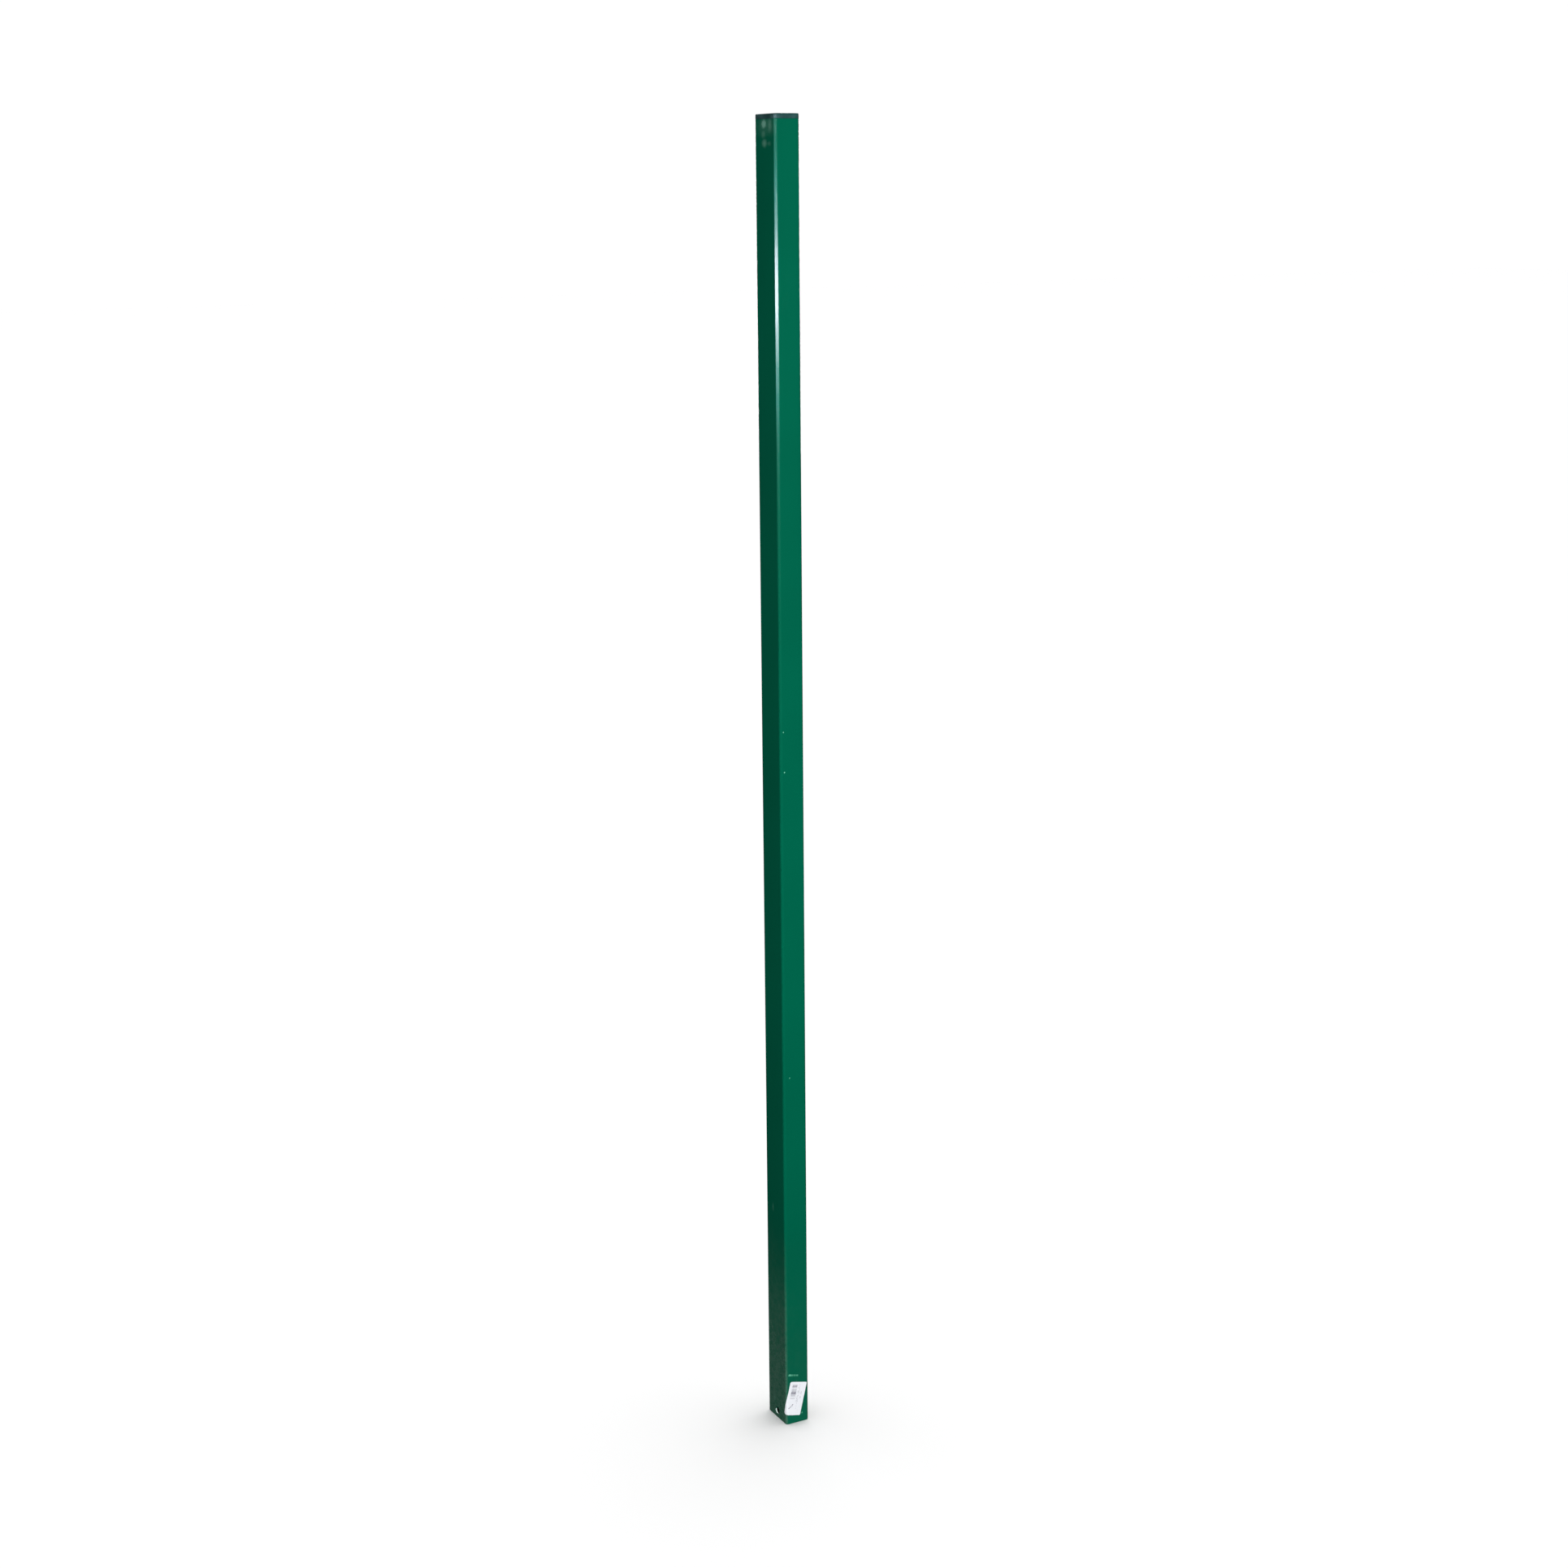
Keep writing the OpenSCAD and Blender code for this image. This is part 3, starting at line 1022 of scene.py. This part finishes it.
def cap_section(cap, wall):
    """The moulding's section, from the middle of the pocket round to the middle of the crown."""
    seat = LENGTH
    top = CAP_HIGH.z - cap.crown
    skirt_out = wall + cap.fin_reach
    skirt_in = skirt_out + cap.skirt_wall
    pocket_top = top - cap.skin
    foot = CAP_LOW.z
    soft = 0.4 * MM
    section = [(HALF_X * 0.9, pocket_top)]
    section += quarter(skirt_in + soft, pocket_top - soft, soft, 90, 0, 3)
    section += quarter(skirt_in - soft, foot + soft, soft, 180, 270, 3)
    section += quarter(skirt_out + soft, foot + soft, soft, 270, 360, 3)
    section += [(skirt_out, seat - soft)]
    section += [(skirt_out - soft * 0.3, seat - soft * 0.3), (skirt_out - soft, seat)]
    section += quarter(cap.seam_radius, seat + cap.seam_radius, cap.seam_radius, 270, 360, 4)
    section += quarter(cap.edge_radius, top - cap.edge_radius, cap.edge_radius, 0, 84, 7)
    span = HALF_X - cap.edge_radius
    for inset in CROWN_INSETS:
        rise = 1.0 - (1.0 - (inset * MM - cap.edge_radius) / span) ** 2
        section.append((inset * MM, top + cap.crown * rise))
    return section


def slab(name, size, centre, material, round_by=0.3 * MM):
    """A box with softened edges."""
    shell = bmesh.new()
    bmesh.ops.create_cube(shell, size=1.0)
    for vertex in shell.verts:
        vertex.co = Vector(vertex.co[axis] * size[axis] + centre[axis] for axis in range(3))
    bmesh.ops.bevel(shell, geom=list(shell.edges), offset=round_by, segments=2, affect="EDGES", profile=0.5)
    mesh = bpy.data.meshes.new(name)
    shell.to_mesh(mesh)
    shell.free()
    mesh.materials.append(material)
    return mesh


def fin_strip(root, tip, along, thickness, material):
    """One fin from its root to its thinner, upturned tip. Root and tip are distances out from the middle."""
    lean = 0.35 * thickness
    middle = 0.5 * (root + tip)
    shoulder = tip - 0.15 * MM
    section = [
        (root, 0.5 * thickness), (root, -0.5 * thickness),
        (middle, -0.42 * thickness + 0.3 * lean), (shoulder, -0.25 * thickness + lean),
        (tip, lean), (shoulder, 0.25 * thickness + lean),
        (middle, 0.42 * thickness + 0.3 * lean),
    ]
    rings = [[Vector((out, place, height)) for out, height in section] for place in along]
    return loft(rings, "fin", material)


def turned(mesh, degrees):
    """The mesh turned about Z."""
    mesh.transform(Matrix.Rotation(math.radians(degrees), 4, "Z"))
    return mesh


def fin_row(cap, wall, material):
    """The fins at one height: one to each narrow side, and two to each wide side, with a gap for the bead."""
    skirt = wall + cap.fin_reach
    overlap = 0.3 * MM
    corner_gap = 1.2 * MM
    fins = []
    for degrees in (0, 180):
        for sign in (-1, 1):
            ends = sorted((sign * cap.fin_notch / 2, sign * (HALF_Y - skirt - corner_gap)))
            root, tip = HALF_X - skirt - overlap, HALF_X - wall - cap.fin_clear
            fins.append(turned(fin_strip(root, tip, ends, cap.fin_thickness, material), degrees))
    for degrees in (90, 270):
        reach = HALF_X - skirt - corner_gap
        root, tip = HALF_Y - skirt - overlap, HALF_Y - wall - cap.fin_clear
        fins.append(turned(fin_strip(root, tip, (-reach, reach), cap.fin_thickness, material), degrees))
    return join_meshes("fin_row", fins)


def build_cap(cap, tube):
    """The moulding with its ribs, and the fins that grip the tube."""
    plastic = plastic_material(cap)
    section = cap_section(cap, tube.wall)
    rings = [cap_ring(inset, height, tube.corner_radius) for inset, height in section]
    shell = loft(rings, "cap_shell", plastic)
    pocket_inset = tube.wall + cap.fin_reach + cap.skirt_wall
    pocket_x = HALF_X - pocket_inset
    pocket_y = HALF_Y - pocket_inset
    pocket_top = CAP_HIGH.z - cap.crown - cap.skin
    rib_low = (CAP_LOW.z + pocket_top) / 2
    overlap = 0.4 * MM
    rib_height = pocket_top + overlap - rib_low
    rib_centre = rib_low + rib_height / 2
    size = (cap.rib_thickness, 2 * pocket_y + 2 * overlap, rib_height)
    ribs = [slab("rib", size, (0, 0, rib_centre), plastic)]
    for sign in (-1, 1):
        size = (2 * pocket_x + 2 * overlap, cap.rib_thickness, rib_height)
        ribs.append(slab("rib", size, (0, sign * pocket_y / 2, rib_centre), plastic))
    mesh = join_meshes("cap_moulding", [shell] + ribs)
    smooth(mesh, 35.0)
    place_piece("cap_moulding", mesh, "cap", "end_cap")

    skirt_depth = LENGTH - CAP_LOW.z
    pitch = (skirt_depth - 2 * cap.fin_thickness) / cap.fin_rows
    fins = grown(
        fin_row(cap, tube.wall, plastic), stack_tree(),
        {"Rows": cap.fin_rows, "Pitch": pitch, "Material": plastic}, "cap_fins",
    )
    fins.transform(Matrix.Translation((0, 0, CAP_LOW.z + 1.5 * cap.fin_thickness)))
    smooth(fins, 50.0)
    place_piece("cap_fins", fins, "cap")


# Label


class Wrap:
    """Carries a place on the flat label to the post's surface, round the corners."""

    def __init__(self, label, corner_radius):
        self.lean = label.lean
        self.centre_x = label.centre_x
        self.centre_z = (LABEL_LOW.z + LABEL_HIGH.z) / 2
        self.radius = corner_radius

    def __call__(self, across, up, off):
        """The point in the frame for a place on the label and its distance off the coat."""
        run = self.centre_x + across * math.cos(self.lean) + up * math.sin(self.lean)
        height = self.centre_z - across * math.sin(self.lean) + up * math.cos(self.lean)
        flat = HALF_X - self.radius
        side = -1.0 if run < 0 else 1.0
        past = abs(run) - flat
        if past <= 0:
            return Vector((run, -HALF_Y - off, height))
        turn = min(past / self.radius, math.pi / 2)
        beyond = past - turn * self.radius
        reach = self.radius + off
        x = flat + reach * math.sin(turn)
        y = -(HALF_Y - self.radius) - reach * math.cos(turn) + beyond
        return Vector((side * x, y, height))


def label_lift(across, up, label):
    """How far the film stands off the coat: loose corners and small blisters."""
    edge_x = abs(across) / (label.width / 2)
    edge_y = abs(up) / (label.height / 2)
    corner = max(0.0, edge_x + edge_y - 1.45) / 0.55
    looser = 1.0 if across < 0 and up < 0 else 0.45
    blister = max(0.0, noise.noise(Vector((across, up, 0.0)) * 160.0) - 0.25) * 0.12 * MM
    return label.lift * looser * corner ** 2 + blister


def label_mesh(label, wrap, material):
    """The film, as a grid with round corners and a real thickness."""
    columns, rows = 44, 80
    half_w, half_h = label.width / 2, label.height / 2
    radius = label.corner_radius
    film = []
    for row in range(rows + 1):
        # Rows crowd together at both ends, where the corners curve.
        up = half_h * math.sin(math.pi * (row / rows - 0.5))
        over = max(0.0, abs(up) - (half_h - radius))
        half_row = half_w - radius + math.sqrt(max(0.0, radius * radius - over * over))
        film.append([(half_row * (2 * column / columns - 1), up) for column in range(columns + 1)])
    points = []
    for off in (label.thickness, 0.01 * MM):
        for row in film:
            points += [wrap(across, up, off + label_lift(across, up, label)) for across, up in row]
    wide = columns + 1
    layer = wide * (rows + 1)
    faces = []
    for row in range(rows):
        for column in range(columns):
            first = row * wide + column
            quad = (first, first + 1, first + wide + 1, first + wide)
            faces.append(quad)
            faces.append(tuple(layer + corner for corner in reversed(quad)))
    rim = [column for column in range(wide)]
    rim += [row * wide + columns for row in range(1, rows + 1)]
    rim += [rows * wide + column for column in range(columns - 1, -1, -1)]
    rim += [row * wide for row in range(rows - 1, 0, -1)]
    for index, corner in enumerate(rim):
        after = rim[(index + 1) % len(rim)]
        faces.append((corner, corner + layer, after + layer, after))
    return mesh_from("label_sheet", points, faces, material)


# Print on the label, in millimetres from its top left corner: the bars' left side and width, the run
# down the label, the pitch, the bars' thickness, its spread and the share of bars that are printed.
BAR_GROUPS = (
    (5.2, 9.2, 5.2, 9.2, 0.62, 0.42, 0.5, 0.95),
    (5.2, 9.2, 9.6, 12.4, 0.80, 0.14, 0.3, 0.70),
    (5.2, 9.2, 13.0, 16.4, 0.62, 0.36, 0.5, 0.90),
    (5.2, 9.2, 17.0, 20.6, 0.60, 0.50, 0.3, 1.00),
    (5.2, 9.2, 21.4, 24.2, 0.62, 0.36, 0.5, 0.90),
    (5.2, 9.2, 26.4, 28.8, 0.62, 0.28, 0.5, 0.80),
)
# Columns of small dashes that stand for lines of print.
DASH_COLUMNS = (
    (17.2, 0.9, 4.5, 34.0, 1.15, 0.80, 0.5, 0.62),
    (19.2, 0.7, 4.5, 48.0, 1.05, 0.70, 0.5, 0.42),
    (23.2, 1.0, 16.5, 21.0, 1.10, 0.85, 0.4, 0.75),
    (23.2, 1.0, 25.0, 30.0, 1.10, 0.85, 0.4, 0.75),
    (15.2, 0.6, 9.0, 26.0, 1.30, 0.60, 0.5, 0.30),
)
# A small generic mark: short strokes in steps.
STEP_STROKES = ((7.2, 44.6), (8.7, 43.0), (10.2, 41.4), (11.7, 39.8), (12.4, 38.0))
STROKE_SIZE = (1.9, 1.1)


def print_meshes(label, ink):
    """The bars and dashes on the flat label, as thin closed slabs about its centre."""
    skin = 0.02 * MM
    left, top = -label.width / 2, label.height / 2
    tree = dash_tree()
    meshes = []
    rows = [row + (0.05,) for row in BAR_GROUPS] + [row + (0.35,) for row in DASH_COLUMNS]
    for index, (start, width, first, last, pitch, thick, spread, keep, width_spread) in enumerate(rows):
        part = slab("dash", (MM, MM, skin), (0.5 * MM, 0.0, 0.0), ink, skin * 0.1)
        mesh = grown(
            part, tree,
            {
                "Count": int((last - first) / pitch) + 1, "Pitch": -pitch * MM, "Width": width,
                "Width Spread": width_spread, "Thick": thick, "Thick Spread": spread, "Keep": keep,
                "Seed": label.seed + 11 * index, "Ink": ink,
            },
            "dashes",
        )
        mesh.transform(Matrix.Translation((left + start * MM, top - first * MM, 0.0)))
        meshes.append(mesh)
    for x, y in STEP_STROKES:
        size = (STROKE_SIZE[0] * MM, STROKE_SIZE[1] * MM, skin)
        meshes.append(slab("stroke", size, (left + x * MM, top - y * MM, 0.0), ink, skin * 0.1))
    return [mesh for mesh in meshes if len(mesh.vertices)]


def build_label(label, tube):
    """The film and the print on it."""
    wrap = Wrap(label, tube.corner_radius)
    sheet = label_mesh(label, wrap, film_material(label))
    smooth(sheet, 50.0)
    place_piece("label_sheet", sheet, "post", "label")

    printed = join_meshes("label_print", print_meshes(label, ink_material(label)))
    for vertex in printed.vertices:
        across, up, rise = vertex.co
        off = label.thickness + label_lift(across, up, label) + 0.012 * MM + rise
        vertex.co = wrap(across, up, off)
    place_piece("label_print", printed, "post")


# Stage

# Lights: distances and heights in metres, sizes as width and height, power in watts.
KEY_DISTANCE = 3.7
KEY_HEIGHT = 1.65
KEY_AIM = 1.2
KEY_SIZE = (0.9, 0.9)
BACK_DISTANCE = 3.6
BACK_HEIGHT = 1.9
BACK_POWER = 110.0
TOP_PLACE = (0.3, 0.5, 4.6)
TOP_POWER = 60.0
PANEL_SIZE = (1.6, 1.6)
STRIP_DISTANCE = 4.0
STRIP_WIDTH = 3.4
STRIP_AZIMUTHS = (-8, -52, -96)
# A bright band and a wide dim one round it, which the near corner's gloss mirrors:
# name, height of the strip, brightness as a share of the band's, and tint.
STRIPS = (
    ("band", 0.20, 1.0, (0.88, 0.84, 1.0)),
    ("glow", 0.74, 0.088, (0.08, 0.92, 1.0)),
)
FLOOR_REACH = 40.0
FLOOR_SUN = 3.7


def round_the_post(azimuth, distance, height):
    """A place round the post. Azimuth 0 is in front of the narrow face with the label."""
    return Vector((distance * math.sin(azimuth), -distance * math.cos(azimuth), height))


def add_area(name, place, target, size, power, glossy=True):
    """A rectangular light that faces its target."""
    data = bpy.data.lights.new(name, "AREA")
    data.shape = "RECTANGLE"
    data.size, data.size_y = size
    data.energy = power
    lamp = bpy.data.objects.new(name, data)
    bpy.context.scene.collection.objects.link(lamp)
    lamp.location = place
    lamp.rotation_euler = (target - place).to_track_quat("-Z", "Y").to_euler()
    lamp.visible_camera = False
    lamp.visible_glossy = glossy
    return lamp


def spare(thing):
    """Takes a thing out of every area light's reach."""
    left_out = bpy.data.collections.new("left_out")
    left_out.objects.link(thing)
    left_out.collection_objects[0].light_linking.link_state = "EXCLUDE"
    for lamp in bpy.context.scene.objects:
        if lamp.type == "LIGHT" and lamp.data.type == "AREA":
            lamp.light_linking.receiver_collection = left_out


def build_world(camera_level, gloss_level, fill_level):
    """A white surround for the eye, and dimmer ones for the gloss and the fill light."""
    world = bpy.data.worlds.new("studio")
    bpy.context.scene.world = world
    world.use_nodes = True
    world.node_tree.nodes.clear()
    graph = Graph(world.node_tree)
    rays = graph.add("ShaderNodeLightPath").outputs
    glossy_or_fill = graph.math("MULTIPLY_ADD", rays["Is Glossy Ray"], gloss_level - fill_level, fill_level)
    to_camera = graph.minus(camera_level, glossy_or_fill)
    level = graph.math("MULTIPLY_ADD", rays["Is Camera Ray"], to_camera, glossy_or_fill)
    background = graph.add("ShaderNodeBackground", {"Color": (1.0, 1.0, 1.0, 1.0), "Strength": level})
    graph.add("ShaderNodeOutputWorld", {"Surface": background.outputs[0]})


def build_floor(stage):
    """A plain pale floor that only the eye sees, so that it doesn't tint the post."""
    half = FLOOR_REACH
    corners = [(-half, -half, 0), (half, -half, 0), (half, half, 0), (-half, half, 0)]
    mesh = bpy.data.meshes.new("floor")
    mesh.from_pydata(corners, [], [(0, 1, 2, 3)])
    material, graph, shader, _ = new_material("floor_pale")
    graph.fill(shader, {
        "Base Color": opaque(stage.floor), "Roughness": 0.9, "Specular IOR Level": 0.1,
    })
    mesh.materials.append(material)
    floor = new_object("floor", mesh)
    floor.visible_diffuse = False
    floor.visible_glossy = False

    # A broad light that falls on the floor alone, which keeps it one even white.
    only_floor = bpy.data.collections.new("lit_floor")
    only_floor.objects.link(floor)
    data = bpy.data.lights.new("floor_sky", "SUN")
    data.energy = FLOOR_SUN
    data.angle = math.radians(60.0)
    sky = bpy.data.objects.new("floor_sky", data)
    bpy.context.scene.collection.objects.link(sky)
    sky.rotation_euler = (math.radians(-6.0), math.radians(6.0), 0.0)
    sky.visible_glossy = False
    sky.light_linking.receiver_collection = only_floor
    return floor


def build_camera(stage):
    """The camera, which turns about its own place after it is set round the post."""
    data = bpy.data.cameras.new("camera")
    data.lens = stage.lens
    data.sensor_width = 36.0
    data.clip_start, data.clip_end = 0.05, 200.0
    camera = bpy.data.objects.new("camera", data)
    bpy.context.scene.collection.objects.link(camera)
    azimuth = stage.camera_azimuth
    facing = (
        Matrix.Rotation(azimuth + stage.camera_pan, 4, "Z")
        @ Matrix.Rotation(math.radians(90.0) - stage.camera_tilt, 4, "X")
        @ Matrix.Rotation(stage.camera_roll, 4, "Z")
    )
    place = round_the_post(azimuth, stage.camera_distance, stage.camera_height)
    camera.matrix_world = Matrix.Translation(place) @ facing
    bpy.context.scene.camera = camera


def build_stage(stage):
    """Camera, floor, surround and lights."""
    scene = bpy.context.scene
    scene.view_settings.view_transform = "Standard"
    scene.view_settings.look = "None"
    scene.view_settings.exposure = 0.0
    scene.view_settings.gamma = 1.0
    build_camera(stage)
    floor = build_floor(stage)
    build_world(camera_level=1.02, gloss_level=0.004, fill_level=0.05)
    middle = Vector((0.0, 0.0, LENGTH / 2))
    key_place = round_the_post(stage.key_azimuth, KEY_DISTANCE, KEY_HEIGHT)
    add_area("key", key_place, Vector((0.0, 0.0, KEY_AIM)), KEY_SIZE, stage.key_power, glossy=False)
    strip_aim = Vector((0.0, 0.0, stage.strip_height))
    for name, height, brightness, tint in STRIPS:
        power = math.pi * stage.strip_radiance * brightness * STRIP_WIDTH * height
        for azimuth in STRIP_AZIMUTHS:
            place = round_the_post(math.radians(azimuth), STRIP_DISTANCE, stage.strip_height)
            lamp = add_area(f"{name}_{abs(azimuth)}", place, strip_aim, (STRIP_WIDTH, height), power)
            lamp.visible_diffuse = False
            lamp.data.color = tint
    back_place = round_the_post(math.radians(150.0), BACK_DISTANCE, BACK_HEIGHT)
    add_area("back", back_place, middle, PANEL_SIZE, BACK_POWER)
    add_area("top", Vector(TOP_PLACE), middle, PANEL_SIZE, TOP_POWER, glossy=False)
    spare(floor)


# Add-on


class POST_OT_build_tube(bpy.types.Operator):
    """Build the coated tube and its weld bead"""

    bl_idname = "post.build_tube"
    bl_label = "Build tube"

    def execute(self, context):
        build_tube(context.scene.post_looks.tube)
        return {"FINISHED"}


class POST_OT_build_cap(bpy.types.Operator):
    """Build the moulded end cap and its fins"""

    bl_idname = "post.build_cap"
    bl_label = "Build cap"

    def execute(self, context):
        looks = context.scene.post_looks
        build_cap(looks.cap, looks.tube)
        return {"FINISHED"}


class POST_OT_build_label(bpy.types.Operator):
    """Build the stock label and its print"""

    bl_idname = "post.build_label"
    bl_label = "Build label"

    def execute(self, context):
        looks = context.scene.post_looks
        build_label(looks.label, looks.tube)
        return {"FINISHED"}


class POST_OT_build_stage(bpy.types.Operator):
    """Build the camera, the floor and the lights"""

    bl_idname = "post.build_stage"
    bl_label = "Build stage"

    def execute(self, context):
        build_stage(context.scene.post_looks.stage)
        return {"FINISHED"}


class POST_PT_looks(bpy.types.Panel):
    """Lists the settings and the builders"""

    bl_idname = "POST_PT_looks"
    bl_label = "Post looks"
    bl_space_type = "VIEW_3D"
    bl_region_type = "UI"
    bl_category = "Post"

    def draw(self, context):
        looks = context.scene.post_looks
        for part, operator in (
            ("stage", POST_OT_build_stage), ("tube", POST_OT_build_tube),
            ("cap", POST_OT_build_cap), ("label", POST_OT_build_label),
        ):
            box = self.layout.box()
            group = getattr(looks, part)
            for setting in group.bl_rna.properties:
                if setting.identifier not in {"rna_type", "name"}:
                    box.prop(group, setting.identifier)
            box.operator(operator.bl_idname)


CLASSES = (
    TubeSettings, CapSettings, LabelSettings, StageSettings, PostLooks,
    POST_OT_build_tube, POST_OT_build_cap, POST_OT_build_label, POST_OT_build_stage, POST_PT_looks,
)


def register():
    """Registers the classes and hangs the settings on the scene."""
    for one in CLASSES:
        bpy.utils.register_class(one)
    bpy.types.Scene.post_looks = bpy.props.PointerProperty(type=PostLooks)


def unregister():
    """Takes the settings and the classes away again."""
    del bpy.types.Scene.post_looks
    for one in reversed(CLASSES):
        bpy.utils.unregister_class(one)


def main():
    """Builds everything in order."""
    register()
    bpy.ops.post.build_stage()
    bpy.ops.post.build_tube()
    bpy.ops.post.build_cap()
    bpy.ops.post.build_label()


if __name__ == "__main__":
    main()
